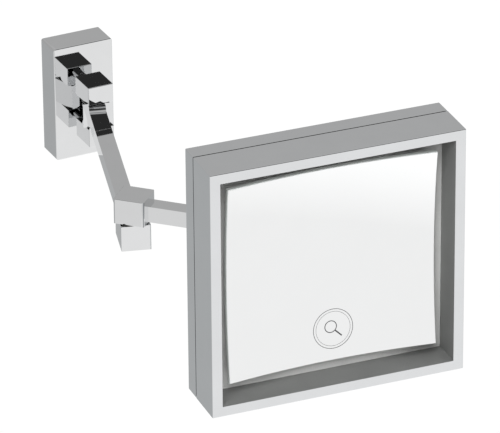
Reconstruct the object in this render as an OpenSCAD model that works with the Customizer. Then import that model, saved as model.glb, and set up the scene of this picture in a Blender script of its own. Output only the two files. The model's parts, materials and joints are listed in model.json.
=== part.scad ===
// Wall-mounted extendable shaving mirror: a square magnifying mirror on a two-link arm.
// Origin: centre of the wall plate's back face. +Z up, the wall lies at y = 0, the room at -Y.

/* [Mirror head] */
// Width of the head
head_w = 200; // [160:1:220]
// Height of the head
head_h = 198; // [160:1:220]
// Depth of the chromed front frame
frame_d = 32.5; // [32:0.5:45]
// Depth of the rear shell
shell_d = 15.5; // [12:0.5:30]
// Width of the front frame's border
border = 8; // [7.5:0.5:14]
// Thickness of the rear shell's walls
shell_wall = 3; // [2:0.5:4]
// Thickness of the dark gasket in the seam
gasket_t = 1; // [0.5:0.1:2]
// Radius of the concave mirror's surface
mirror_r = 600; // [450:10:900]
// Thickness of the mirror glass
glass_t = 3.5; // [2:0.5:5]
// Depth of the mirror's middle behind the frame's front
mirror_depth = 21; // [20:0.5:24]
// Gap beside the glass
glass_gap_x = 9.6; // [4:0.1:14]
// Gap above and below the glass
glass_gap_z = 11.6; // [4:0.1:14]

/* [Wall plate] */
// Width of the wall plate
plate_w = 50; // [46:1:80]
// Height of the wall plate
plate_h = 96; // [90:1:140]
// Depth of the wall plate
plate_d = 24; // [22:1:34]
// Corner radius of the wall plate
plate_r = 2.5; // [2:0.5:8]
// Side wall of the wall plate
plate_wall = 2; // [1.5:0.5:3]
// Front wall of the wall plate
plate_front = 3; // [2:0.5:4]
// Distance between the two wall screw holes
screw_spacing = 64; // [56:1:68]
// Radius of the wall screw holes
screw_hole_r = 2.75; // [2:0.05:3]

/* [Arms] */
// Width of the square arm tube
bar_w = 13.2; // [12:0.2:16]
// Height of the square arm tube
bar_h = 12.8; // [11:0.2:16]
// Wall of the arm tube
tube_wall = 1.5; // [1:0.1:2.5]
// First arm, wall pin to elbow pin
arm_1_len = 179; // [120:1:260]
// Second arm, elbow pin to head pin
arm_2_len = 133; // [120:1:240]
// Sideways step of the elbow pin from the first arm's centre line
elbow_step = 5; // [3:0.5:6]
// Height of the second arm's tube above the underside of the elbow's upper block
arm_2_lift = 2.4; // [0.5:0.1:2.6]

/* [Hinges] */
// Width of the wall hinge's blocks
hinge_w = 21; // [20:0.5:24]
// Depth of the wall hinge's blocks
hinge_d = 25; // [25:0.5:32]
// Height of each block of the wall hinge
hinge_block_h = 15; // [12:0.5:20]
// Height of the gap between the wall hinge's blocks
hinge_gap_h = 21; // [18:0.5:26]
// Length of the necks between wall plate and hinge
neck_len = 7.5; // [5:0.5:12]
// Diameter of the two round necks
neck_w = 8; // [7:0.5:12]
// Radius of the vertical hinge pins at the wall and the elbow
pin_r = 4; // [3:0.5:4.5]
// Width of the elbow's lower block
elbow_lower_w = 22.5; // [22:0.5:30]
// Height of the elbow's lower block
elbow_lower_h = 20.4; // [18:0.2:26]
// Width of the elbow's square upper block
elbow_upper_w = 24.5; // [20:0.5:30]
// Height of the elbow's upper block
elbow_upper_h = 20.4; // [18:0.2:26]
// Radius of the head swivel pin
swivel_pin_r = 3; // [2.5:0.1:3.5]
// Radius of the head tilt pin
tilt_pin_r = 2.5; // [2:0.1:2.8]

/* [Pose] */
// First arm's turn from square to the wall, negative to the left
arm_1_turn = -16.5; // [-60:0.5:60]
// Bend of the elbow
elbow_turn = 61.3; // [-60:0.1:90]
// Turn of the head against the second arm
head_turn = -49; // [-80:0.1:80]

/* [Clearances] */
// Radial clearance of every pin in its bush
run_fit = 0.05; // [0.02:0.01:0.1]
// Gap on each side of a washer between moving blocks
slide_gap = 0.05; // [0.05:0.01:0.2]
// Gap beside a part that only sits in place
seat_gap = 0.2; // [0.1:0.05:0.5]
// Gap between parts that swing past each other
swing_gap = 0.5; // [0.4:0.1:1]

/* [Hidden] */
$fn = 64;
eps = 0.01;

// Wall plate
wall_pin_y = -(plate_d + neck_len + hinge_d / 2);
hinge_back_y = -(plate_d + neck_len);
hinge_front_y = hinge_back_y - hinge_d;
hinge_top = hinge_gap_h / 2 + hinge_block_h;
base_t = 3;
base_w = plate_w - 2 * plate_wall - 4;
base_h = plate_h - 2 * plate_wall - 4;
tongue_w = 20;
tongue_z = base_h / 2 - base_t;
tongue_d = 14;
cover_inner_y = -(plate_d - plate_front);
stiffener_t = 3;
stiffener_w = 36;
stiffener_h = 56;
bolt_r = 2.5;
bolt_z = hinge_gap_h / 2 + hinge_block_h / 2;
bolt_head_h = 3.5;
bolt_reach = hinge_back_y - 4;
grub_r = 2;
grub_y = -9;

// Hinge pins and washers
hinge_washer_t = 0.4;
knuckle_r = hinge_w / 2;
knuckle_h = hinge_gap_h - 2 * (hinge_washer_t + 2 * slide_gap);
bush_r = pin_r + 1.5;
pin_top = hinge_top - 3.5;
plug_h = 4;
shoulder_len = 16.5;
shoulder_fillet = (knuckle_h - bar_h) / 2;

// First arm
tube_1_start = shoulder_len + shoulder_fillet + 1;
spigot_len = 14;
elbow_back = 20;
tube_1_end = arm_1_len - elbow_back;
lower_front = elbow_lower_w / 2;
lower_top = -bar_h / 2 - 0.4;
lower_bottom = lower_top - elbow_lower_h;
upper_r = 2;
corner_cut = upper_r * (sqrt(2) - 1);
upper_reach = elbow_upper_w / sqrt(2) - corner_cut + swing_gap;

// Elbow, measured along the pin
thrust_t = 0.6;
upper_bottom = lower_top + thrust_t + 2 * slide_gap;
upper_top = upper_bottom + elbow_upper_h;
pocket_r = 8;
pocket_top = lower_bottom + 6;
spring_t = 1;
retainer_t = 1.2;
retainer_screw_r = 2;
retainer_head_h = 2.2;
cap_t = 1.2;
elbow_pin_bottom = pocket_top - slide_gap - spring_t;
elbow_pin_top = upper_top - 5;
thrust_r = elbow_lower_w / 2 - 1.5;

// Second arm
arm_2_z = upper_bottom + bar_h / 2 + arm_2_lift;
tube_2_start = elbow_upper_w / 2;
eye_r = 8.5;
eye_neck = 12;
tube_2_end = arm_2_len - eye_neck;
eye_bush_r = swivel_pin_r + 1.2;

// Roll pins, measured along each arm
roll_1_places = [tube_1_start + spigot_len / 2, tube_1_end - spigot_len / 2];
roll_2_places = [tube_2_start + spigot_len / 2, tube_2_end - spigot_len / 2];
roll_pin_r = 1.5;

// Head joint
lug_t = 5;
lug_washer_t = 0.5;
lug_low = bar_h / 2 + lug_washer_t + 2 * slide_gap;
lug_top = lug_low + lug_t;
tongue_r = 4.5;
swivel_to_tilt = eye_r + swing_gap + tongue_r;
swivel_web_w = 12;
swivel_web_back = eye_r + swing_gap;
swivel_web_front = swivel_web_back + 2.5;
ear_t = 3;
ear_r = 5.5;
ear_washer_t = 0.5;
ear_in = swivel_web_w / 2 + ear_washer_t + 2 * slide_gap;
ear_out = ear_in + ear_t;
tilt_bush_r = tilt_pin_r + 1;
bracket_w = 56;
bracket_h = 44;
bracket_t = 2.5;
tilt_to_shell = bracket_t + tongue_r + swing_gap;
bracket_hole_x = 21;
bracket_hole_z = 15;
bracket_screw_r = 1.75;
boss_r = 4.5;

// Head, measured back from the frame's front
head_d = frame_d + gasket_t + shell_d;
opening_w = head_w - 2 * border;
opening_h = head_h - 2 * border;
glass_w = opening_w - 2 * glass_gap_x;
glass_h = opening_h - 2 * glass_gap_z;
tray_t = 2;
tray_front = mirror_depth + glass_t + 1;
rebate = 3;
tray_w = opening_w + 2 * rebate - 2 * seat_gap;
tray_h = opening_h + 2 * rebate - 2 * seat_gap;
frame_screw_in = border / 2 - 0.4;
frame_screw_r = 1.5;
frame_screw_len = 20;
shell_head_r = 2.6;
shell_head_h = 2;
shell_step = 2;
tray_screw_r = 1;
tray_screw_x = opening_w / 2 + 1.1;
tray_screw_z = [-head_h / 4, head_h / 4];
pad_r = 9;
pad_place = 0.36;
pad_out = norm([pad_place * glass_w, pad_place * glass_h]);
pad_front = glass_back(pad_out - pad_r) + slide_gap;

// Depth of the glass's back at a distance from the mirror's middle
function glass_back(r) = mirror_depth - mirror_r + sqrt(pow(mirror_r + glass_t, 2) - r * r);

// Places

module at_wall_pin() {
    translate([0, wall_pin_y, 0]) children();
}

module in_arm_1() {
    at_wall_pin() rotate([0, 0, arm_1_turn]) children();
}

module at_elbow() {
    in_arm_1() translate([elbow_step, -arm_1_len, 0]) children();
}

module in_arm_2() {
    at_elbow() rotate([0, 0, elbow_turn]) children();
}

module in_swivel() {
    in_arm_2() translate([0, -arm_2_len, arm_2_z]) rotate([0, 0, head_turn]) children();
}

module in_tilt() {
    in_swivel() translate([0, -swivel_to_tilt, 0]) children();
}

// Head frame: y = 0 on the frame's front, +Y to the back
module in_head() {
    in_tilt() translate([0, -(tilt_to_shell + head_d), 0]) children();
}

// Shared shapes

// Box given by its low and high corners
module span(low, high) {
    translate(low) cube(high - low);
}

// Upright cylinder between two heights
module post(r, low, high) {
    translate([0, 0, low]) cylinder(r = r, h = high - low);
}

// Upright ring between two heights
module ring(r_out, r_in, low, high) {
    difference() {
        post(r_out, low, high);
        post(r_in, low - 1, high + 1);
    }
}

// Cylinder along Y between two depths
module rod_y(r, low, high) {
    translate([0, low, 0]) rotate([-90, 0, 0]) cylinder(r = r, h = high - low);
}

// Cylinder along X between two places
module rod_x(r, low, high) {
    translate([low, 0, 0]) rotate([0, 90, 0]) cylinder(r = r, h = high - low);
}

// Flat rectangle with round corners
module round_rect(w, h, r) {
    square([w - 2 * r, h], center = true);
    square([w, h - 2 * r], center = true);
    for (sx = [-1, 1], sz = [-1, 1])
        translate([sx * (w / 2 - r), sz * (h / 2 - r)]) circle(r = r);
}

// Upright plate in the XZ plane with round corners, between two depths
module round_plate(w, h, r, low, high) {
    translate([0, high, 0]) rotate([90, 0, 0]) linear_extrude(high - low) round_rect(w, h, r);
}

// Plain plate in the XZ plane between two depths
module slab(w, h, low, high) {
    span([-w / 2, low, -h / 2], [w / 2, high, h / 2]);
}

// Slotted or socket screw along Y: head from y = 0 back, shank to the front
module screw_y(r, len, head_r, head_h, socket_r) {
    difference() {
        union() {
            rod_y(r, -len, eps);
            rod_y(head_r, 0, head_h);
        }
        translate([0, head_h - head_h / 2, 0]) rotate([-90, 0, 0])
            cylinder(r = socket_r, h = head_h, $fn = 6);
    }
}

// Square arm tube along -Y
module tube(start, end) {
    difference() {
        span([-bar_w / 2, -end, -bar_h / 2], [bar_w / 2, -start, bar_h / 2]);
        span([-bar_w / 2 + tube_wall, -end - 1, -bar_h / 2 + tube_wall],
            [bar_w / 2 - tube_wall, -start + 1, bar_h / 2 - tube_wall]);
    }
}

// Holes for the roll pins, across the tube's height
module roll_pin_holes(places) {
    for (y = places) translate([0, -y, 0]) post(roll_pin_r, -bar_h, bar_h);
}

// Spigot that fills the end of the arm tube
module spigot(start, end) {
    span([-bar_w / 2 + tube_wall, -end, -bar_h / 2 + tube_wall],
        [bar_w / 2 - tube_wall, -start, bar_h / 2 - tube_wall]);
}

module roll_pins(places) {
    for (y = places) translate([0, -y, 0]) ring(roll_pin_r, roll_pin_r - 0.7, -bar_h / 2, bar_h / 2 - 3);
}

// Wall plate and wall hinge

// Steel base plate screwed to the wall, with a tongue at the top and bottom
module wall_bracket() color("silver") difference() {
    union() {
        slab(base_w, base_h, -base_t, 0);
        for (s = [-1, 1])
            slab_at(tongue_w, base_t, -tongue_d, -base_t + eps, s * (tongue_z + base_t / 2));
    }
    for (s = [-1, 1]) translate([0, 0, s * screw_spacing / 2]) rod_y(screw_hole_r, -base_t - 1, 1);
}

module slab_at(w, h, low, high, z) {
    translate([0, 0, z]) slab(w, h, low, high);
}

// Chromed cover, open at the back, with a boss for the grub screw in its floor
module wall_plate_cover() color("gainsboro") difference() {
    union() {
        difference() {
            round_plate(plate_w, plate_h, plate_r, -plate_d, 0);
            round_plate(plate_w - 2 * plate_wall, plate_h - 2 * plate_wall,
                plate_r - plate_wall / 2, cover_inner_y, 1);
        }
        translate([0, grub_y, 0]) post(4, -plate_h / 2 + eps, -plate_h / 2 + plate_wall + 1.5);
    }
    for (s = [-1, 1]) translate([0, 0, s * bolt_z]) rod_y(bolt_r + seat_gap, -plate_d - 1, 0);
    translate([0, grub_y, 0]) post(grub_r, -plate_h / 2 - 1, -plate_h / 2 + 8);
}

// Grub screw in the cover's floor that clamps it to the base plate's lower tongue
module cover_grub_screw() color("dimgray") translate([0, grub_y, 0]) difference() {
    post(grub_r, -plate_h / 2 + 0.3, -tongue_z - base_t);
    translate([0, 0, -plate_h / 2]) cylinder(r = 1.1, h = 2.5, $fn = 6);
}

// Steel plate behind the cover's front wall
module cover_stiffener() color("silver") difference() {
    slab(stiffener_w, stiffener_h, cover_inner_y, cover_inner_y + stiffener_t);
    for (s = [-1, 1]) translate([0, 0, s * bolt_z]) rod_y(bolt_r + seat_gap, -plate_d, 0);
}

// Two bolts from inside the cover into the hinge bracket
module hinge_bolts() color("dimgray")
    for (s = [-1, 1]) translate([0, cover_inner_y + stiffener_t, s * bolt_z])
        screw_y(bolt_r, cover_inner_y + stiffener_t - bolt_reach, 4.2, bolt_head_h, 2);

// Fixed hinge bracket: two blocks, each on a round neck that its bolt draws against the plate
module hinge_bracket() color("gainsboro") difference() {
    union() {
        for (s = [-1, 1])
            span([-hinge_w / 2, hinge_front_y, s > 0 ? hinge_gap_h / 2 : -hinge_top],
                [hinge_w / 2, hinge_back_y, s > 0 ? hinge_top : -hinge_gap_h / 2]);
        for (s = [-1, 1]) translate([0, 0, s * bolt_z]) rod_y(neck_w / 2, hinge_back_y - eps, -plate_d);
    }
    at_wall_pin() post(pin_r, -hinge_top - 1, pin_top);
    at_wall_pin() post(pin_r + 1, -hinge_top - 1, -hinge_top + plug_h);
    for (s = [-1, 1]) translate([0, 0, s * bolt_z]) rod_y(bolt_r, bolt_reach, 0);
}

module wall_hinge_pin() color("silver") at_wall_pin() post(pin_r, -hinge_top + plug_h, pin_top);

// Socket plug that closes the pin's bore from below
module wall_pin_plug() color("gainsboro") at_wall_pin() difference() {
    post(pin_r + 1, -hinge_top, -hinge_top + plug_h);
    translate([0, 0, -hinge_top - 1]) cylinder(r = 2, h = 3, $fn = 6);
}

// Thin washers above and below the first arm's knuckle
module wall_hinge_washers() color("ivory") at_wall_pin()
    for (s = [-1, 1])
        translate([0, 0, s * (knuckle_h / 2 + slide_gap + hinge_washer_t / 2)])
            ring(knuckle_r - 1, pin_r + run_fit, -hinge_washer_t / 2, hinge_washer_t / 2);

// First arm

// Square knuckle, as wide as the hinge blocks, with a shoulder that curves down to the arm tube
module arm_1_wall_knuckle() color("gainsboro") in_arm_1() difference() {
    union() {
        span([-knuckle_r, -knuckle_r, -knuckle_h / 2], [knuckle_r, knuckle_r, knuckle_h / 2]);
        span([-bar_w / 2, -shoulder_len, -knuckle_h / 2], [bar_w / 2, 0, knuckle_h / 2]);
        difference() {
            span([-bar_w / 2, -tube_1_start, -knuckle_h / 2], [bar_w / 2, 0, knuckle_h / 2]);
            for (s = [-1, 1]) {
                translate([0, -shoulder_len - shoulder_fillet, s * knuckle_h / 2])
                    rod_x(shoulder_fillet, -bar_w, bar_w);
                translate([0, 0, s * (bar_h / 2 + 5)])
                    slab(2 * bar_w, 10, -tube_1_start - 1, -shoulder_len - shoulder_fillet);
            }
        }
        spigot(0, tube_1_start + spigot_len);
    }
    post(bush_r, -knuckle_h, knuckle_h);
    roll_pin_holes(roll_1_places);
}

module wall_hinge_bush() color("peru") in_arm_1()
    ring(bush_r, pin_r + run_fit, -knuckle_h / 2, knuckle_h / 2);

module arm_1_tube() color("gainsboro") in_arm_1() difference() {
    tube(tube_1_start, tube_1_end);
    lower_roll_holes(roll_1_places);
}

// Roll pins go in from below and stop short of the tube's top face
module lower_roll_holes(places) {
    for (y = places) translate([0, -y, 0]) post(roll_pin_r, -bar_h, 0);
}

// Block below the second arm, with a neck that carries the first arm's tube
module arm_1_elbow_block() color("gainsboro") difference() {
    union() {
        in_arm_1() span([-bar_w / 2, -arm_1_len, lower_top - eps], [bar_w / 2, -tube_1_end, bar_h / 2]);
        in_arm_1() span([-bar_w / 2, -arm_1_len - lower_front, lower_bottom],
            [-bar_w / 2 + elbow_lower_w, -tube_1_end, lower_top]);
        in_arm_1() spigot(tube_1_end - spigot_len, tube_1_end + eps);
    }
    at_elbow() post(upper_reach, lower_top, bar_h);
    at_elbow() post(bush_r, lower_bottom, bar_h);
    at_elbow() post(pocket_r, lower_bottom - 1, pocket_top);
    in_arm_1() roll_pin_holes(roll_1_places);
}

module arm_1_roll_pins() color("dimgray") in_arm_1() roll_pins(roll_1_places);

module elbow_bush() color("peru") at_elbow() ring(bush_r, pin_r + run_fit, pocket_top, lower_top);

// Press-in cap that closes the pocket below the elbow pin
module elbow_cap() color("gainsboro") at_elbow() post(pocket_r, lower_bottom, lower_bottom + cap_t);

module elbow_thrust_washer() color("ivory") at_elbow()
    ring(thrust_r, pin_r + run_fit, lower_top, lower_top + thrust_t);

// Second arm

// Square block on top of the elbow that the second arm's tube leaves from
module arm_2_elbow_block() color("gainsboro") in_arm_2() difference() {
    union() {
        translate([0, 0, upper_bottom]) linear_extrude(elbow_upper_h)
            round_rect(elbow_upper_w, elbow_upper_w, upper_r);
        translate([0, 0, arm_2_z]) {
            span([-bar_w / 2, -tube_2_start, -bar_h / 2], [bar_w / 2, 0, bar_h / 2]);
            spigot(0, tube_2_start + spigot_len);
        }
    }
    post(pin_r, upper_bottom - 1, elbow_pin_top);
    translate([0, 0, arm_2_z]) roll_pin_holes(roll_2_places);
}

// Pin pressed into the upper block, turning in the lower block's bush
module elbow_pin() color("silver") in_arm_2() difference() {
    post(pin_r, elbow_pin_bottom, elbow_pin_top);
    post(retainer_screw_r, elbow_pin_bottom - 1, elbow_pin_bottom + 9);
}

// Disc spring that keeps the elbow stiff
module elbow_disc_spring() color("dimgray") in_arm_2()
    ring(pocket_r - 0.5, pin_r + 0.3, elbow_pin_bottom, elbow_pin_bottom + spring_t);

module elbow_retaining_washer() color("silver") in_arm_2()
    ring(pocket_r - 1, retainer_screw_r + 0.1, elbow_pin_bottom - retainer_t, elbow_pin_bottom);

module elbow_retaining_screw() color("dimgray") in_arm_2() difference() {
    union() {
        post(retainer_screw_r, elbow_pin_bottom - retainer_t - eps, elbow_pin_bottom + 8);
        post(3.5, elbow_pin_bottom - retainer_t - retainer_head_h, elbow_pin_bottom - retainer_t);
    }
    translate([0, 0, elbow_pin_bottom - retainer_t - retainer_head_h - 1])
        cylinder(r = 1.4, h = 2.2, $fn = 6);
}

module arm_2_tube() color("gainsboro") in_arm_2() translate([0, 0, arm_2_z]) difference() {
    tube(tube_2_start, tube_2_end);
    lower_roll_holes(roll_2_places);
}

// Round eye at the second arm's end, for the head's upright pin
module arm_2_head_eye() color("gainsboro") in_arm_2() translate([0, 0, arm_2_z]) difference() {
    union() {
        translate([0, -arm_2_len, 0]) post(eye_r, -bar_h / 2, bar_h / 2);
        span([-bar_w / 2, -arm_2_len, -bar_h / 2], [bar_w / 2, -tube_2_end, bar_h / 2]);
        spigot(tube_2_end - spigot_len, tube_2_end + eps);
    }
    translate([0, -arm_2_len, 0]) post(eye_bush_r, -bar_h, bar_h);
    roll_pin_holes(roll_2_places);
}

module arm_2_roll_pins() color("dimgray") in_arm_2() translate([0, 0, arm_2_z])
    roll_pins(roll_2_places);

module head_eye_bush() color("peru") in_arm_2() translate([0, -arm_2_len, arm_2_z])
    ring(eye_bush_r, swivel_pin_r + run_fit, -bar_h / 2, bar_h / 2);

// Head joint

// Fork around the second arm's eye, with a cross tongue for the tilt pin
module swivel_block() color("gainsboro") in_swivel() difference() {
    union() {
        for (s = [-1, 1]) translate([0, 0, s * (lug_low + lug_top) / 2]) {
            post(eye_r, -lug_t / 2, lug_t / 2);
            span([-swivel_web_w / 2, -swivel_web_front, -lug_t / 2],
                [swivel_web_w / 2, 0, lug_t / 2]);
        }
        span([-swivel_web_w / 2, -swivel_web_front, -lug_top],
            [swivel_web_w / 2, -swivel_web_back, lug_top]);
        translate([0, -swivel_to_tilt, 0])
            rod_x(tongue_r, -swivel_web_w / 2, swivel_web_w / 2);
    }
    post(swivel_pin_r, -lug_top - 1, lug_top + 1);
    translate([0, -swivel_to_tilt, 0]) rod_x(tilt_bush_r, -swivel_web_w, swivel_web_w);
}

// Upright pin with a flat head on top and a groove for its circlip
module swivel_pin() color("silver") in_swivel() difference() {
    union() {
        post(swivel_pin_r, -lug_top - 2, lug_top + eps);
        post(swivel_pin_r + 1.5, lug_top, lug_top + 1.5);
    }
    ring(swivel_pin_r + 1, swivel_pin_r - 0.5, -lug_top - 1, -lug_top - 0.2);
}

module swivel_circlip() color("dimgray") in_swivel() difference() {
    ring(swivel_pin_r + 1.5, swivel_pin_r - 0.5, -lug_top - 1, -lug_top - 0.2);
    span([-1.5, 0, -lug_top - 2], [1.5, 10, -lug_top]);
}

module swivel_washers() color("ivory") in_swivel() for (s = [-1, 1])
    translate([0, 0, s * (bar_h / 2 + slide_gap + lug_washer_t / 2)])
        ring(eye_r - 0.5, swivel_pin_r + run_fit, -lug_washer_t / 2, lug_washer_t / 2);

// Plate screwed to the rear shell, with two ears for the tilt pin
module tilt_bracket() color("gainsboro") in_tilt() difference() {
    union() {
        slab(bracket_w, bracket_h, -tilt_to_shell, -tilt_to_shell + bracket_t);
        for (s = [-1, 1]) translate([s * (ear_in + ear_out) / 2, 0, 0]) {
            rod_x(ear_r, -ear_t / 2, ear_t / 2);
            span([-ear_t / 2, -tilt_to_shell, -ear_r], [ear_t / 2, 0, ear_r]);
        }
    }
    rod_x(tilt_pin_r, -bracket_w, bracket_w);
    for (sx = [-1, 1], sz = [-1, 1])
        translate([sx * bracket_hole_x, 0, sz * bracket_hole_z])
            rod_y(bracket_screw_r + seat_gap, -tilt_to_shell - 1, 0);
}

module tilt_pin() color("silver") in_tilt() difference() {
    union() {
        rod_x(tilt_pin_r, -ear_out - eps, ear_out + 2);
        rod_x(tilt_pin_r + 1.5, -ear_out - 1.5, -ear_out);
    }
    rotate([0, 90, 0]) ring(tilt_pin_r + 1, tilt_pin_r - 0.5, ear_out + 0.2, ear_out + 1);
}

module tilt_circlip() color("dimgray") in_tilt() rotate([0, 90, 0]) difference() {
    ring(tilt_pin_r + 1.5, tilt_pin_r - 0.5, ear_out + 0.2, ear_out + 1);
    span([-10, -1.2, ear_out], [0, 1.2, ear_out + 2]);
}

module tilt_washers() color("ivory") in_tilt() for (s = [-1, 1])
    translate([s * (swivel_web_w / 2 + slide_gap + ear_washer_t / 2), 0, 0]) rotate([0, 90, 0])
        ring(tongue_r - 0.3, tilt_pin_r + run_fit, -ear_washer_t / 2, ear_washer_t / 2);

module tilt_bush() color("peru") in_tilt() rotate([0, 90, 0])
    ring(tilt_bush_r, tilt_pin_r + run_fit, -swivel_web_w / 2, swivel_web_w / 2);

module bracket_screws() color("dimgray") in_tilt() for (sx = [-1, 1], sz = [-1, 1])
    translate([sx * bracket_hole_x, -tilt_to_shell + bracket_t, sz * bracket_hole_z])
        screw_y(bracket_screw_r, bracket_t + shell_wall + 4, 3.2, 1.8, 1.2);

// Mirror head

module at_frame_screws() {
    for (sx = [-1, 1], sz = [-1, 1])
        translate([sx * (head_w / 2 - frame_screw_in), 0, sz * (head_h / 2 - frame_screw_in)])
            children();
}

// Rear shell: closed back, corner bosses for the frame screws, four bosses for the bracket
module rear_shell() color("gainsboro") in_head() difference() {
    union() {
        difference() {
            slab(head_w, head_h, head_d - shell_d, head_d);
            slab(head_w - 2 * shell_wall, head_h - 2 * shell_wall, 0, head_d - shell_wall);
        }
        for (sx = [-1, 1], sz = [-1, 1]) {
            span_corner(sx, sz);
            translate([sx * bracket_hole_x, 0, sz * bracket_hole_z])
                rod_y(boss_r, head_d - shell_wall - 6, head_d - shell_wall + eps);
        }
    }
    at_frame_screws() {
        rod_y(frame_screw_r + seat_gap, 0, head_d + 1);
        rod_y(shell_head_r + seat_gap, head_d - shell_head_h - shell_step, head_d + 1);
    }
    for (sx = [-1, 1], sz = [-1, 1]) translate([sx * bracket_hole_x, 0, sz * bracket_hole_z])
        rod_y(bracket_screw_r, head_d - shell_wall - 4.5, head_d + 1);
}

// Square corner boss of the rear shell
module span_corner(sx, sz) {
    side = 2 * frame_screw_in + 2;
    translate([sx * (head_w - side) / 2, 0, sz * (head_h - side) / 2])
        slab(side, side, head_d - shell_d, head_d - eps);
}

module shell_screws() color("dimgray") in_head() at_frame_screws()
    translate([0, head_d - shell_head_h - shell_step, 0])
        screw_y(frame_screw_r, frame_screw_len, shell_head_r, shell_head_h, 1.1);

// Dark gasket, set back from the head's sides so that the seam shows as a groove
module seam_gasket() color("black") in_head() difference() {
    slab(head_w - 2, head_h - 2, frame_d, frame_d + gasket_t);
    slab(tray_w + 2 * seat_gap, tray_h + 2 * seat_gap, 0, head_d);
    at_frame_screws() rod_y(frame_screw_r + seat_gap, 0, head_d);
}

// Front frame: a square ring, rebated at the back for the tray
module front_frame() color("gainsboro") in_head() difference() {
    slab(head_w, head_h, 0, frame_d);
    slab(opening_w, opening_h, -1, head_d);
    slab(tray_w + 2 * seat_gap, tray_h + 2 * seat_gap, tray_front, head_d);
    at_frame_screws() rod_y(frame_screw_r, frame_d + gasket_t + 6 - frame_screw_len, head_d);
    at_tray_screws() rod_y(tray_screw_r, tray_front - 5, head_d);
}

module at_tray_screws() {
    for (sx = [-1, 1], z = tray_screw_z) translate([sx * tray_screw_x, 0, z]) children();
}

// Tray that closes the frame's opening behind the mirror
module mirror_tray() color("gray") in_head() difference() {
    slab(tray_w, tray_h, tray_front, tray_front + tray_t);
    at_tray_screws() rod_y(tray_screw_r + seat_gap, 0, head_d);
}

module tray_screws() color("dimgray") in_head() at_tray_screws()
    translate([0, tray_front + tray_t, 0]) screw_y(tray_screw_r, tray_t + 4, 1.7, 1.2, 0.6);

// Ball that the mirror's face lies on, grown by t to the back
module mirror_ball(t) {
    translate([0, mirror_depth - mirror_r, 0]) sphere(r = mirror_r + t, $fn = 256);
}

// Foam pads between tray and glass
module mirror_pads() color("dimgray") in_head()
    for (sx = [-1, 1], sz = [-1, 1])
        translate([sx * pad_place * glass_w, 0, sz * pad_place * glass_h])
            rod_y(pad_r, pad_front, tray_front);

// Concave magnifying mirror
module mirror_glass() color("lightcyan") in_head() intersection() {
    slab(glass_w, glass_h, 0, mirror_depth + glass_t + 1);
    difference() {
        mirror_ball(glass_t);
        mirror_ball(0);
    }
}

wall_bracket();
wall_plate_cover();
cover_grub_screw();
cover_stiffener();
hinge_bolts();
hinge_bracket();
wall_hinge_pin();
wall_pin_plug();
wall_hinge_washers();
arm_1_wall_knuckle();
wall_hinge_bush();
arm_1_tube();
arm_1_elbow_block();
arm_1_roll_pins();
elbow_bush();
elbow_cap();
elbow_thrust_washer();
arm_2_elbow_block();
elbow_pin();
elbow_disc_spring();
elbow_retaining_washer();
elbow_retaining_screw();
arm_2_tube();
arm_2_head_eye();
arm_2_roll_pins();
head_eye_bush();
swivel_block();
swivel_pin();
swivel_circlip();
swivel_washers();
tilt_bracket();
tilt_pin();
tilt_circlip();
tilt_washers();
tilt_bush();
bracket_screws();
rear_shell();
shell_screws();
seam_gasket();
front_frame();
mirror_tray();
tray_screws();
mirror_pads();
mirror_glass();
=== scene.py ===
"""Looks of the wall-mounted extendable shaving mirror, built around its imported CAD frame."""
import json
import math

import bmesh
import bpy
from mathutils import Matrix, Vector


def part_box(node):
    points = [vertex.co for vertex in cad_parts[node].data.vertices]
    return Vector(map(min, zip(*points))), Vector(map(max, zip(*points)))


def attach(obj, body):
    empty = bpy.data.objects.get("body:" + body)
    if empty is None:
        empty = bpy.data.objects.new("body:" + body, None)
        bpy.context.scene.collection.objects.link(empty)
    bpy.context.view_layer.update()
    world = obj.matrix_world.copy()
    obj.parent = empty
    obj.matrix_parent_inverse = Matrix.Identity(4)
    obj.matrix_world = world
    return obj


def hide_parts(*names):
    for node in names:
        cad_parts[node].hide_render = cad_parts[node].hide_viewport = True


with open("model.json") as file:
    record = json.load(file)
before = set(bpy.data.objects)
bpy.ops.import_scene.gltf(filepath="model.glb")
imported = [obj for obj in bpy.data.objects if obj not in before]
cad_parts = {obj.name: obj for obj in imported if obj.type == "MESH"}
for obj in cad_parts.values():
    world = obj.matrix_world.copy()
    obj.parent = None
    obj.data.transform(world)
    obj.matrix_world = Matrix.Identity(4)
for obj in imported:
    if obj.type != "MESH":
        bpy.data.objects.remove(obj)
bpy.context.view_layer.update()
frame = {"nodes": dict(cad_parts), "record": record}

MM = 0.001
RECORD = frame["record"]
BODY_OF = {node: body for body, nodes in RECORD["behaviour"]["bodies"].items() for node in nodes}
SLOT_OF = {part["node"]: part["material_slot"] for part in RECORD["subparts"]}
JOINTS = {joint["name"]: joint for joint in RECORD["behaviour"]["joints"]}

# axes: the room's, and the head's own (across it, through it to the back, and up)
WORLD = (Vector((1.0, 0.0, 0.0)), Vector((0.0, 1.0, 0.0)), Vector((0.0, 0.0, 1.0)))
UP = WORLD[2]
HEAD_X = Vector(JOINTS["head_tilt"]["axis"]).normalized()
HEAD_Y = UP.cross(HEAD_X)
HEAD = (HEAD_X, HEAD_Y, UP)


# --- sizes read from the frame ---------------------------------------------------------------

def span_along(name, axis):
    """Least and greatest reach of a CAD node along an axis."""
    node = frame["nodes"][name]
    places = [(node.matrix_world @ v.co).dot(axis) for v in node.data.vertices]
    return min(places), max(places)


def spans(name, axes):
    """A CAD node's least and greatest reach along each of three axes."""
    return [span_along(name, axis) for axis in axes]


def middle_of(name):
    """Middle of a CAD node's box."""
    low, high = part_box(name)
    return (Vector(low) + Vector(high)) / 2


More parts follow.
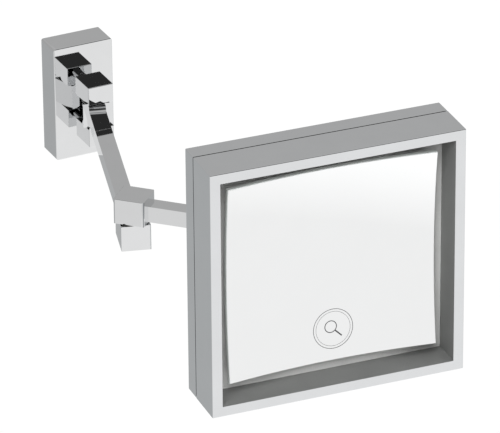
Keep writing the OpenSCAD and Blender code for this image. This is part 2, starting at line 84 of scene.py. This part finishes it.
def long_axis(name):
    """Level direction along a straight tube: the long edge across which it is narrowest."""
    shortest, level_within = 80 * MM, 1e-6
    mesh = frame["nodes"][name].data
    edges = [mesh.vertices[e.vertices[1]].co - mesh.vertices[e.vertices[0]].co for e in mesh.edges]
    level = [Vector((e.x, e.y, 0.0)).normalized() for e in edges
             if abs(e.z) < level_within and e.length > shortest]

    def width(along):
        low, high = span_along(name, UP.cross(along))
        return high - low

    return min(level, key=width)


def arm_axes(tube, pin):
    """An arm's axes: along its tube and away from a pin, across it, and up."""
    along = long_axis(tube)
    if along.dot(middle_of(tube) - Vector(JOINTS[pin]["pos_m"])) < 0.0:
        along = -along
    return along, UP.cross(along), UP


ARM_1 = arm_axes("arm_1_tube", "wall_swivel")
ARM_2 = arm_axes("arm_2_tube", "elbow_swivel")
HEAD_MIDDLE = middle_of("front_frame")


# --- shader node helpers ---------------------------------------------------------------------

def new_material(name):
    """A material and its node tree, emptied."""
    material = bpy.data.materials.new(name)
    material.use_nodes = True
    material.node_tree.nodes.clear()
    return material, material.node_tree


def add(tree, kind, values=None, **props):
    """Adds a node, sets its properties, and sets or links its inputs by name or number."""
    node = tree.nodes.new(kind)
    for key, value in props.items():
        setattr(node, key, value)
    for key, value in (values or {}).items():
        socket = node.inputs[key]
        if isinstance(value, bpy.types.NodeSocket):
            tree.links.new(value, socket)
        else:
            socket.default_value = value
    return node


def ramp(tree, fac, stops):
    """A colour ramp with (position, colour) stops; gives its colour."""
    node = add(tree, "ShaderNodeValToRGB", {0: fac})
    elements = node.color_ramp.elements
    while len(elements) < len(stops):
        elements.new(0.5)
    for element, (position, colour) in zip(elements, stops):
        element.position = position
        element.color = (*colour, 1.0)
    return node.outputs[0]


def remap(tree, value, source, target, **props):
    """Maps a value from one (low, high) range to another."""
    low_high = {0: value, 1: source[0], 2: source[1], 3: target[0], 4: target[1]}
    return add(tree, "ShaderNodeMapRange", low_high, **props).outputs[0]


def product(tree, first, second):
    return add(tree, "ShaderNodeMath", {0: first, 1: second}, operation="MULTIPLY").outputs[0]


def noise(tree, **values):
    """A noise texture's value; the keywords name its inputs."""
    return add(tree, "ShaderNodeTexNoise", values).outputs["Fac"]


def grey(v):
    return (v, v, v)


def darker(colour, part):
    """A colour with a part of its brightness taken away."""
    return tuple(c * (1 - part) for c in colour)


def surface(tree, colour, metallic, rough, bump):
    """Ends a material's tree with a principled shader."""
    shader = add(tree, "ShaderNodeBsdfPrincipled", {
        "Base Color": colour, "Metallic": metallic, "Roughness": rough,
        "Normal": bump.outputs[0]})
    add(tree, "ShaderNodeOutputMaterial", {"Surface": shader.outputs[0]})


# --- materials -------------------------------------------------------------------------------

ONE_NOISE, TWO_NOISES = (0.3, 0.7), (0.12, 0.45)    # where a noise, and two multiplied, mostly lie
SMUDGE_SCALE, PEEL_SCALE = 38.0, 420.0
LINE_SCALE, LINE_TURN = (90.0, 90.0, 1400.0), (0.2, 0.1, 0.3)
PEEL_DEPTH = 0.00003


def polished(name, base, rough_lo, rough_hi, peel=0.02, smudge=0.03):
    """Polished metal: faint orange peel, fine polishing lines and softer smudges in the gloss."""
    material, t = new_material(name)
    place = add(t, "ShaderNodeTexCoord").outputs["Object"]
    smudges = noise(t, Vector=place, Scale=SMUDGE_SCALE, Detail=5.0, Roughness=0.6)
    stretched = add(t, "ShaderNodeMapping", {
        "Vector": place, "Scale": LINE_SCALE, "Rotation": LINE_TURN}).outputs[0]
    lines = noise(t, Vector=stretched, Scale=1.0, Detail=3.0)
    rough = remap(t, product(t, smudges, lines), TWO_NOISES, (rough_lo, rough_hi))
    peel_height = noise(t, Vector=place, Scale=PEEL_SCALE, Detail=2.0)
    bump = add(t, "ShaderNodeBump", {
        "Strength": peel, "Distance": PEEL_DEPTH, "Height": peel_height})
    tint = ramp(t, smudges, [(ONE_NOISE[0], darker(base, smudge)), (ONE_NOISE[1], base)])
    surface(t, tint, 1.0, rough, bump)
    return material


GRAIN_BUMP, GRAIN_UNEVEN = 0.35, 0.15
GRAIN_DARK, GRAIN_LIGHT = 0.12, 0.42
BROAD_TO_GRAIN = 40


def ground(name, base, rough, scale, depth, metallic=1.0, contrast=0.15):
    """Turned, drawn, moulded or printed surface with fine grain; the depth is in metres."""
    material, t = new_material(name)
    place = add(t, "ShaderNodeTexCoord").outputs["Object"]
    grain = noise(t, Vector=place, Scale=scale, Detail=6.0, Roughness=0.65)
    broad = noise(t, Vector=place, Scale=scale / BROAD_TO_GRAIN, Detail=2.0)
    colour = ramp(t, product(t, grain, broad),
                  [(GRAIN_DARK, darker(base, contrast)), (GRAIN_LIGHT, base)])
    uneven = remap(t, grain, ONE_NOISE, (rough * (1 - GRAIN_UNEVEN), rough * (1 + GRAIN_UNEVEN)))
    bump = add(t, "ShaderNodeBump", {"Strength": GRAIN_BUMP, "Distance": depth, "Height": grain})
    surface(t, colour, metallic, uneven, bump)
    return material


# polished: colour, least and greatest roughness; ground: colour, roughness, grain scale and depth
MATERIALS = {
    "chrome": polished("chrome_look", (0.80, 0.805, 0.81), 0.012, 0.045),
    "chrome_head": polished("chrome_head_look", (0.79, 0.80, 0.81), 0.02, 0.07, peel=0.04),
    "tray_grey": ground("tray_look", (0.80, 0.805, 0.79), 0.5, 1500.0, 0.00004, metallic=0.0),
    "foam": ground("foam_look", (0.03, 0.03, 0.032), 0.9, 900.0, 0.0004,
                   metallic=0.0, contrast=0.5),
    "gasket": ground("gasket_look", (0.012, 0.012, 0.013), 0.7, 1200.0, 0.00008,
                     metallic=0.0, contrast=0.3),
    "steel": ground("steel_look", (0.60, 0.60, 0.61), 0.25, 1500.0, 0.00002),
    "zinc_steel": ground("zinc_look", (0.58, 0.60, 0.62), 0.38, 500.0, 0.00006, contrast=0.25),
    "black_steel": ground("black_steel_look", (0.035, 0.035, 0.038), 0.42, 1500.0, 0.00003,
                          metallic=0.6),
    "bronze": ground("bronze_look", (0.55, 0.36, 0.17), 0.4, 1800.0, 0.00005, contrast=0.3),
    "nylon": ground("nylon_look", (0.72, 0.70, 0.64), 0.5, 1200.0, 0.00003,
                    metallic=0.0, contrast=0.08),
    "mirror_silver": polished("mirror_look", (0.93, 0.935, 0.935), 0.0, 0.012,
                              peel=0.0, smudge=0.008),
}
GLASS_EDGE = ground("glass_edge_look", (0.78, 0.82, 0.80), 0.35, 2500.0, 0.00003,
                    metallic=0.0, contrast=0.12)
GLASS_BACK = ground("glass_back_look", (0.16, 0.17, 0.18), 0.6, 900.0, 0.00005,
                    metallic=0.0, contrast=0.2)
# walls of the chrome frame's recess: a dark grey in place of chrome, which is painted shade and
# painted reflection of the recess
RECESS_WALLS_PAINTED_SHADE = ground("frame_inside_painted_shade_look", (0.27, 0.275, 0.27), 0.36, 1400.0, 0.00003,
                     metallic=0.3, contrast=0.15)
PRINT = ground("print_look", (0.10, 0.10, 0.105), 0.5, 2500.0, 0.00001,
               metallic=0.0, contrast=0.25)

for name, node in frame["nodes"].items():
    node.data.materials.clear()
    node.data.materials.append(MATERIALS[SLOT_OF[name]])


# --- CAD nodes with softened edges -----------------------------------------------------------

HAIR = 0.002 * MM         # how far a rounded box stands proud of the node it cuts
WELD = 2e-6               # vertices closer than this are one
ROUND_STEPS = 4
FLAT_FROM = 0.99995       # a face this nearly square to an axis is flat
SMOOTH_FROM = 0.80        # faces whose normals agree this well shade into each other


def link(obj):
    bpy.context.scene.collection.objects.link(obj)
    return obj


def mesh_object(name, bm):
    """An object in the scene from a bmesh, which is used up."""
    mesh = bpy.data.meshes.new(name)
    bmesh.ops.recalc_face_normals(bm, faces=bm.faces)
    bm.to_mesh(mesh)
    bm.free()
    return link(bpy.data.objects.new(name, mesh))


def rounded_box(bm, middle, axes, half, radius):
    """Adds a box with all its edges rounded, given its middle, its axes and its half sizes."""
    made = bmesh.ops.create_cube(bm, size=2.0)["verts"]
    turn = Matrix(axes).transposed()
    for v in made:
        v.co = middle + turn @ Vector([place * size for place, size in zip(v.co, half)])
    edges = list({e for v in made for e in v.link_edges})
    bmesh.ops.bevel(bm, geom=edges, offset=radius, offset_type="OFFSET", segments=ROUND_STEPS,
                    profile=0.5, affect="EDGES", clamp_overlap=False)


def true_normals(mesh, axes):
    """Shading normals that bend only over the rounded edges and round walls; flats stay flat."""
    flat = [max(abs(face.normal.dot(axis)) for axis in axes) > FLAT_FROM for face in mesh.polygons]
    around = [[] for _ in mesh.vertices]
    for face in mesh.polygons:
        for v in face.vertices:
            around[v].append(face.index)
    normals = [None] * len(mesh.loops)
    for face in mesh.polygons:
        for loop in face.loop_indices:
            if flat[face.index]:
                normals[loop] = face.normal.copy()
                continue
            near = [mesh.polygons[i] for i in around[mesh.loops[loop].vertex_index]]
            near = [other for other in near if other.normal.dot(face.normal) > SMOOTH_FROM]
            flats = [other for other in near if flat[other.index]]
            total = Vector((0.0, 0.0, 0.0))
            for other in flats or near:
                total += other.normal * (1.0 if flats else other.area)
            normals[loop] = total.normalized() if total.length > 1e-9 else face.normal.copy()
    mesh.normals_split_custom_set([tuple(n) for n in normals])


def rounded(name, boxes, inner=None):
    """Cuts a copy of a CAD node by rounded boxes, which softens its edges; it stands for the node.

    Each box is (axes, spans, radius): spans are three (low, high) pairs along the axes. The boxes
    are a hair larger, so that no two faces lie in one plane. Inner is a second material, and the
    test of a face's middle and normal that chooses it.
    """
    source = frame["nodes"][name]
    bm = bmesh.new()
    bm.from_mesh(source.data)
    bm.transform(source.matrix_world)
    bmesh.ops.remove_doubles(bm, verts=bm.verts, dist=WELD)
    piece = mesh_object(name + "_piece", bm)

    bm = bmesh.new()
    for axes, box, radius in boxes:
        middle = sum((axis * (low + high) / 2 for axis, (low, high) in zip(axes, box)),
                     Vector((0.0, 0.0, 0.0)))
        rounded_box(bm, middle, axes, [(high - low) / 2 + HAIR for low, high in box], radius)
    cutter = mesh_object(name + "_cutter", bm)

    cut = piece.modifiers.new("cut", "BOOLEAN")
    cut.operation, cut.solver, cut.object = "INTERSECT", "EXACT", cutter
    cut.use_self = len(boxes) > 1
    bpy.context.view_layer.update()
    done = piece.evaluated_get(bpy.context.evaluated_depsgraph_get())
    mesh = bpy.data.meshes.new_from_object(done)
    piece.modifiers.clear()
    piece.data = mesh
    old = cutter.data
    bpy.data.objects.remove(cutter)
    bpy.data.meshes.remove(old)

    mesh.materials.clear()
    mesh.materials.append(MATERIALS[SLOT_OF[name]])
    if inner:
        mesh.materials.append(inner[0])
    for face in mesh.polygons:
        face.use_smooth = True
        face.material_index = 1 if inner and inner[1](face.center, face.normal) else 0
    true_normals(mesh, boxes[0][0])
    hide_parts(name)
    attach(piece, BODY_OF[name])


def grown(span, by):
    """A (low, high) span with the same length added at both ends."""
    return span[0] - by, span[1] + by


# radii of the softened edges; a box that only keeps a hidden neck or spigot whole is nearly sharp
PLATE_EDGE, BRACKET_EDGE, KNUCKLE_EDGE, SHOULDER_EDGE = 0.8 * MM, 0.45 * MM, 0.4 * MM, 0.3 * MM
LOWER_BLOCK_EDGE, LOWER_NECK_EDGE, UPPER_BLOCK_EDGE = 0.45 * MM, 0.35 * MM, 0.4 * MM
FRAME_EDGE, SHELL_EDGE, KEEP_EDGE = 0.6 * MM, 0.9 * MM, 0.05 * MM

# how far the boxes of one cutter run into each other, or past the node
LAP, SHORT_LAP, PAST = 3 * MM, 2 * MM, MM
SPIGOT_INSET = MM         # a spigot's box is smaller than the tube around it by this much
NECK_BOX_HALF = 5 * MM
KNUCKLE_LAP = 5 * MM

rounded("wall_plate_cover", [(WORLD, spans("wall_plate_cover", WORLD), PLATE_EDGE)])

# two hinge blocks, above and below the washers, with plain boxes around their necks
wide, deep, tall = spans("hinge_bracket", WORLD)
half_gap = round(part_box("wall_hinge_washers")[1].z, 4)      # to the nearest tenth of a millimetre
block_back = 2 * JOINTS["wall_swivel"]["pos_m"][1] - deep[0]
neck_z = (half_gap + tall[1]) / 2
blocks = [(WORLD, [wide, (deep[0], block_back), z], BRACKET_EDGE)
          for z in ((half_gap, tall[1]), (tall[0], -half_gap))]
necks = [(WORLD, [grown((0.0, 0.0), NECK_BOX_HALF), grown((block_back, deep[1]), SHORT_LAP),
                  grown((z, z), NECK_BOX_HALF)], KEEP_EDGE)
         for z in (neck_z, -neck_z)]
rounded("hinge_bracket", blocks + necks)

# the first arm's elbow block: the block, the neck above it, and the spigot inside the tube
whole, bar = spans("arm_1_elbow_block", ARM_1), spans("arm_1_tube", ARM_1)
block_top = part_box("elbow_thrust_washer")[0].z
tube_end = bar[0][1]
rounded("arm_1_elbow_block", [
    (ARM_1, [(tube_end, whole[0][1]), whole[1], (whole[2][0], block_top)], LOWER_BLOCK_EDGE),
    (ARM_1, [grown((tube_end, whole[0][1]), LAP), bar[1], (block_top - LAP, bar[2][1])],
     LOWER_NECK_EDGE),
    (ARM_1, [(whole[0][0] - PAST, tube_end + SHORT_LAP), grown(bar[1], -SPIGOT_INSET),
             grown(bar[2], -SPIGOT_INSET)], KEEP_EDGE)])

# the second arm's square block and its spigot
whole, bar = spans("arm_2_elbow_block", ARM_2), spans("arm_2_tube", ARM_2)
tube_start = bar[0][0]
rounded("arm_2_elbow_block", [
    (ARM_2, [(whole[0][0], tube_start), whole[1], whole[2]], UPPER_BLOCK_EDGE),
    (ARM_2, [(tube_start - SHORT_LAP, whole[0][1] + PAST), grown(bar[1], -SPIGOT_INSET),
             grown(bar[2], -SPIGOT_INSET)], KEEP_EDGE)])

# the square knuckle, and the shoulder by which the tube steps up to it
whole, bar = spans("arm_1_wall_knuckle", ARM_1), spans("arm_1_tube", ARM_1)
start, end = whole[0]
knuckle_end = start + (whole[1][1] - whole[1][0])
rounded("arm_1_wall_knuckle", [
    (ARM_1, [(start, knuckle_end), whole[1], whole[2]], KNUCKLE_EDGE),
    (ARM_1, [(start + KNUCKLE_LAP, end + PAST), bar[1], grown(whole[2], PAST)], SHOULDER_EDGE)])

# the two halves of the head stay sharp where they meet at the seam
across, through, upward = spans("front_frame", HEAD)
BORDER_DEPTH = 0.5 * MM   # faces behind the frame's front by more than this may be inner walls
OUTER_SKIN = 4 * MM       # and so may those farther in than this from the frame's outside
WALL_LEAN = 0.6           # a wall's normal lies less along the head's depth than this
INNER_HALF_W = (across[1] - across[0]) / 2 - OUTER_SKIN
INNER_HALF_H = (upward[1] - upward[0]) / 2 - OUTER_SKIN


def is_inner_wall(centre, normal):
    """Whether a face of the front frame belongs to the walls of its recess."""
    return (abs(normal.dot(HEAD_Y)) < WALL_LEAN
            and centre.dot(HEAD_Y) > through[0] + BORDER_DEPTH
            and abs(centre.dot(HEAD_X) - HEAD_MIDDLE.dot(HEAD_X)) < INNER_HALF_W
            and abs(centre.z - HEAD_MIDDLE.z) < INNER_HALF_H)


# the frame's recess walls take the dark grey of painted shade and reflection; the rest of the frame
# stays chrome
rounded("front_frame", [(HEAD, [across, (through[0], through[1] + LAP), upward], FRAME_EDGE)],
        inner=(RECESS_WALLS_PAINTED_SHADE, is_inner_wall))
across, through, upward = spans("rear_shell", HEAD)
rounded("rear_shell", [(HEAD, [across, (through[0] - LAP, through[1]), upward], SHELL_EDGE)])


# --- mirror glass and its printed mark -------------------------------------------------------

def thin_piece(name, verts, faces, materials, indices, smooth):
    """A closed mesh with a material number for each face; it rides with the mirror."""
    mesh = bpy.data.meshes.new(name + "_mesh")
    mesh.from_pydata([tuple(v) for v in verts], [], faces)
    for material in materials:
        mesh.materials.append(material)
    for face, index in zip(mesh.polygons, indices):
        face.material_index = index
        face.use_smooth = smooth
    mesh.validate()
    bm = bmesh.new()
    bm.from_mesh(mesh)
    bmesh.ops.recalc_face_normals(bm, faces=bm.faces)
    bm.to_mesh(mesh)
    bm.free()
    obj = link(bpy.data.objects.new(name, mesh))
    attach(obj, BODY_OF["mirror_glass"])
    return obj


GLASS_T, ARRIS = 3.5 * MM, 0.5 * MM
GLASS_STEPS = 60
SHARP_FROM = math.radians(25.0)
FACE, EDGE, BACK = 0, 1, 2          # material numbers of the glass

GLASS_X, GLASS_Y, GLASS_Z = spans("mirror_glass", HEAD)
HALF_W, HALF_H = (GLASS_X[1] - GLASS_X[0]) / 2, (GLASS_Z[1] - GLASS_Z[0]) / 2
MID_X, MID_Z = (GLASS_X[0] + GLASS_X[1]) / 2, (GLASS_Z[0] + GLASS_Z[1]) / 2
FACE_MID = GLASS_Y[1] - GLASS_T
SAG = FACE_MID - GLASS_Y[0]
MIRROR_R = (HALF_W ** 2 + HALF_H ** 2 + SAG ** 2) / (2 * SAG)


def on_glass(x, z, back=0.0):
    """A point of the mirror's curved face, or of a surface behind it, x and z from its middle."""
    r = MIRROR_R + back
    y = FACE_MID - MIRROR_R + math.sqrt(r * r - x * x - z * z)
    return HEAD_X * (MID_X + x) + HEAD_Y * y + UP * (MID_Z + z)


def make_glass():
    """Curved glass: silvered face, seamed front arris, ground edge and painted back."""
    n, row = GLASS_STEPS, GLASS_STEPS + 1
    verts, faces, indices = [], [], []

    def grid(half_w, half_h, back):
        first = len(verts)
        for j in range(row):
            for i in range(row):
                x, z = half_w * (2 * i / n - 1), half_h * (2 * j / n - 1)
                verts.append(on_glass(x, z, back))
        return first

    def rim(first):
        """Vertex numbers around a grid, in order."""
        bottom = [first + i for i in range(n)]
        right = [first + n + j * row for j in range(n)]
        top = [first + n * row + i for i in range(n, 0, -1)]
        left = [first + j * row for j in range(n, 0, -1)]
        return bottom + right + top + left

    face = grid(HALF_W - ARRIS, HALF_H - ARRIS, 0.0)
    rear = grid(HALF_W, HALF_H, GLASS_T)
    lip = len(verts)
    for index in rim(rear):
        j, i = divmod(index - rear, row)
        verts.append(on_glass(HALF_W * (2 * i / n - 1), HALF_H * (2 * j / n - 1), ARRIS))
    for first, index in ((face, FACE), (rear, BACK)):
        for j in range(n):
            for i in range(n):
                a = first + j * row + i
                faces.append((a, a + 1, a + row + 1, a + row))
                indices.append(index)
    face_rim, rear_rim = rim(face), rim(rear)
    count = len(face_rim)
    for k in range(count):
        m = (k + 1) % count
        faces.append((face_rim[k], face_rim[m], lip + m, lip + k))
        faces.append((lip + k, lip + m, rear_rim[m], rear_rim[k]))
        indices += [EDGE, EDGE]
    glass = thin_piece("mirror_glass_piece", verts, faces,
                       [MATERIALS["mirror_silver"], GLASS_EDGE, GLASS_BACK], indices, True)
    glass.modifiers.new("normals", "WEIGHTED_NORMAL").keep_sharp = True
    glass.data.set_sharp_from_angle(angle=SHARP_FROM)
    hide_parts("mirror_glass")


# the mark, in millimetres on the glass: its middle, its lines' height, and its strokes
MARK_X, MARK_Z = 2.9, -54.5
PROUD, SUNK = 0.03, 0.01
RINGS = ((15.6, 0.45), (13.6, 0.25))          # radius and line width
RING_STEPS = 96
LENS_SHIFT, LENS_R, LENS_LINE, LENS_STEPS = 1.8, 4.6, 0.7, 64
HANDLE_FROM, HANDLE_STEP, HANDLE_POINTS, HANDLE_LINE = 1.45, 0.75, 8, 1.1


def make_mark(cx, cz):
    """Plain magnifier sign in thin printed lines: a double ring, and in it a lens with a handle."""
    verts, faces = [], []

    def stroke(points, width, closed):
        """A flat line of even width laid on the glass, closed all round."""
        count = len(points)
        first = len(verts)
        for k, p in enumerate(points):
            before = points[(k - 1) % count] if closed or k else p
            after = points[(k + 1) % count] if closed or k < count - 1 else p
            along = (after - before).normalized()
            side = Vector((-along.y, along.x)) * width / 2
            for place, lift in ((p + side, PROUD), (p - side, PROUD),
                                (p - side, -SUNK), (p + side, -SUNK)):
                verts.append(on_glass(place.x * MM, place.y * MM, -lift * MM))
        for k in range(count if closed else count - 1):
            a, b = first + 4 * k, first + 4 * ((k + 1) % count)
            for q in range(4):
                faces.append((a + q, a + (q + 1) % 4, b + (q + 1) % 4, b + q))
        if not closed:
            last = first + 4 * (count - 1)
            faces.append((first + 3, first + 2, first + 1, first))
            faces.append((last, last + 1, last + 2, last + 3))

    def circle(x, z, r, steps):
        angles = [2 * math.pi * i / steps for i in range(steps)]
        return [Vector((x + r * math.cos(a), z + r * math.sin(a))) for a in angles]

    for radius, line in RINGS:
        stroke(circle(cx, cz, radius, RING_STEPS), line, True)
    stroke(circle(cx - LENS_SHIFT, cz + LENS_SHIFT, LENS_R, LENS_STEPS), LENS_LINE, True)
    slants = [HANDLE_STEP * i for i in range(HANDLE_POINTS)]
    stroke([Vector((cx + HANDLE_FROM + s, cz - HANDLE_FROM - s)) for s in slants],
           HANDLE_LINE, False)
    thin_piece("magnifier_mark", verts, faces, [PRINT], [0] * len(faces), False)


make_glass()
make_mark(MARK_X, MARK_Z)


# --- floor -----------------------------------------------------------------------------------

FLOOR_HALF, FLOOR_Z, FLOOR_GLOW = 7.0, -0.45, 1.02
FLOOR_GREYS, FLOOR_NOISE_SCALE = (0.99, 1.0), 0.6


def make_floor():
    """White floor that only the camera sees."""
    material, tree = new_material("floor_look")
    stops = [(place, grey(level)) for place, level in zip(ONE_NOISE, FLOOR_GREYS)]
    colour = ramp(tree, noise(tree, Scale=FLOOR_NOISE_SCALE, Detail=1.0), stops)
    glow = add(tree, "ShaderNodeEmission", {"Color": colour, "Strength": FLOOR_GLOW})
    add(tree, "ShaderNodeOutputMaterial", {"Surface": glow.outputs[0]})
    mesh = bpy.data.meshes.new("studio_floor_mesh")
    h = FLOOR_HALF
    mesh.from_pydata([(-h, -h, 0), (h, -h, 0), (h, h, 0), (-h, h, 0)], [], [(0, 1, 2, 3)])
    mesh.materials.append(material)
    floor = link(bpy.data.objects.new("studio_floor", mesh))
    floor.location = (0.0, 0.0, FLOOR_Z)
    floor.visible_glossy = floor.visible_diffuse = floor.visible_shadow = False


make_floor()


# --- world: what the chrome mirrors ----------------------------------------------------------

# (direction from -1 to 1, colour): behind it goes by height; in front also, but a direction counts
# as the higher the further to the right it points
FRONT_LEAN = 0.25
FRONT_STOPS = (
    (-1.0, grey(1.15)), (-0.65, grey(1.14)), (-0.56, grey(1.04)), (-0.475, grey(0.92)),
    (-0.05, grey(0.92)), (0.03, grey(0.30)), (0.18, grey(0.035)), (0.78, grey(0.03)),
    (1.0, grey(0.55)))
BACK_STOPS = (
    (-1.0, grey(1.0)), (-0.7, (0.50, 0.51, 0.51)), (-0.40, (0.43, 0.44, 0.445)),
    (0.0, grey(0.44)), (0.35, grey(0.43)), (0.50, grey(0.48)), (1.0, grey(0.55)))
BACK_TO_FRONT = (0.30, -0.15)       # where the back passes into the front, along the room's Y
FRONT_TO_LEFT = (0.0, -0.85)        # where the front dims to the left, along the room's X
LEFT_LEVEL = 0.70
MIX_A, MIX_B, MIX_COLOUR = 6, 7, 2  # colour sockets of the mix node


def make_world():
    """A sky painted by direction: bright low in front, dark high in front, grey behind."""
    world = bpy.data.worlds.new("studio")
    bpy.context.scene.world = world
    world.use_nodes = True
    tree = world.node_tree
    tree.nodes.clear()
    direction = add(tree, "ShaderNodeTexCoord").outputs["Generated"]
    xyz = add(tree, "ShaderNodeSeparateXYZ", {0: direction}).outputs

    def by_direction(value, stops):
        unit = remap(tree, value, (-1.0, 1.0), (0.0, 1.0))
        return ramp(tree, unit, [((place + 1) / 2, colour) for place, colour in stops])

    leaning = add(tree, "ShaderNodeMath", {0: xyz["X"], 1: FRONT_LEAN, 2: xyz["Z"]},
                  operation="MULTIPLY_ADD").outputs[0]
    front = by_direction(leaning, FRONT_STOPS)
    back = by_direction(xyz["Z"], BACK_STOPS)
    to_front = remap(tree, xyz["Y"], BACK_TO_FRONT, (0.0, 1.0), interpolation_type="SMOOTHSTEP")
    to_left = remap(tree, xyz["X"], FRONT_TO_LEFT, (1.0, LEFT_LEVEL),
                    interpolation_type="SMOOTHSTEP")
    dimmed = add(tree, "ShaderNodeVectorMath", {0: front, "Scale": to_left},
                 operation="SCALE").outputs[0]
    sky = add(tree, "ShaderNodeMix", {"Factor": to_front}, data_type="RGBA")
    tree.links.new(back, sky.inputs[MIX_A])
    tree.links.new(dimmed, sky.inputs[MIX_B])
    background = add(tree, "ShaderNodeBackground", {"Color": sky.outputs[MIX_COLOUR]})
    add(tree, "ShaderNodeOutputWorld", {"Surface": background.outputs[0]})


make_world()


# --- lights ----------------------------------------------------------------------------------

# name, place and watts
LIGHTS = (("key", (-0.9, -1.6, 1.5), 45.0), ("fill", (1.4, -1.2, 0.5), 20.0))
LIGHT_SIZE = 1.2


def soft_light(name, location, power):
    """A square soft box aimed at the head; the chrome doesn't mirror it."""
    data = bpy.data.lights.new(name, "AREA")
    data.shape, data.size, data.size_y = "RECTANGLE", LIGHT_SIZE, LIGHT_SIZE
    data.energy = power
    light = link(bpy.data.objects.new(name, data))
    light.location = location
    light.rotation_mode = "QUATERNION"
    light.rotation_quaternion = (HEAD_MIDDLE - Vector(location)).to_track_quat("-Z", "Y")
    light.visible_glossy = False


for light_name, place, watts in LIGHTS:
    soft_light(light_name, place, watts)


# --- camera ----------------------------------------------------------------------------------

AZIMUTH, ELEVATION, ROLL = (math.radians(angle) for angle in (25.737, 27.004, -0.481))
CAM_TARGET, CAM_DISTANCE = Vector((0.15471, 0.0, -0.14921)), 4.0587
CAM_LENS, CAM_SENSOR = 360.0, 36.0
CAM_NEAR, CAM_FAR = 0.1, 60.0


def make_camera():
    """A camera with a long lens, to the left of the part and above it."""
    level = math.cos(ELEVATION)
    backward = Vector((-math.sin(AZIMUTH) * level, -math.cos(AZIMUTH) * level,
                       math.sin(ELEVATION)))
    right = Vector((math.cos(AZIMUTH), -math.sin(AZIMUTH), 0.0))
    up = backward.cross(right)
    rolled_right = right * math.cos(ROLL) + up * math.sin(ROLL)
    rolled_up = -right * math.sin(ROLL) + up * math.cos(ROLL)
    data = bpy.data.cameras.new("camera")
    data.sensor_fit, data.sensor_width, data.lens = "HORIZONTAL", CAM_SENSOR, CAM_LENS
    data.clip_start, data.clip_end = CAM_NEAR, CAM_FAR
    camera = link(bpy.data.objects.new("camera", data))
    turn = Matrix((rolled_right, rolled_up, backward)).transposed()
    camera.matrix_world = turn.to_4x4()
    camera.location = CAM_TARGET + backward * CAM_DISTANCE
    bpy.context.scene.camera = camera


make_camera()
bpy.context.scene.view_settings.view_transform = "Standard"

bpy.context.view_layer.update()
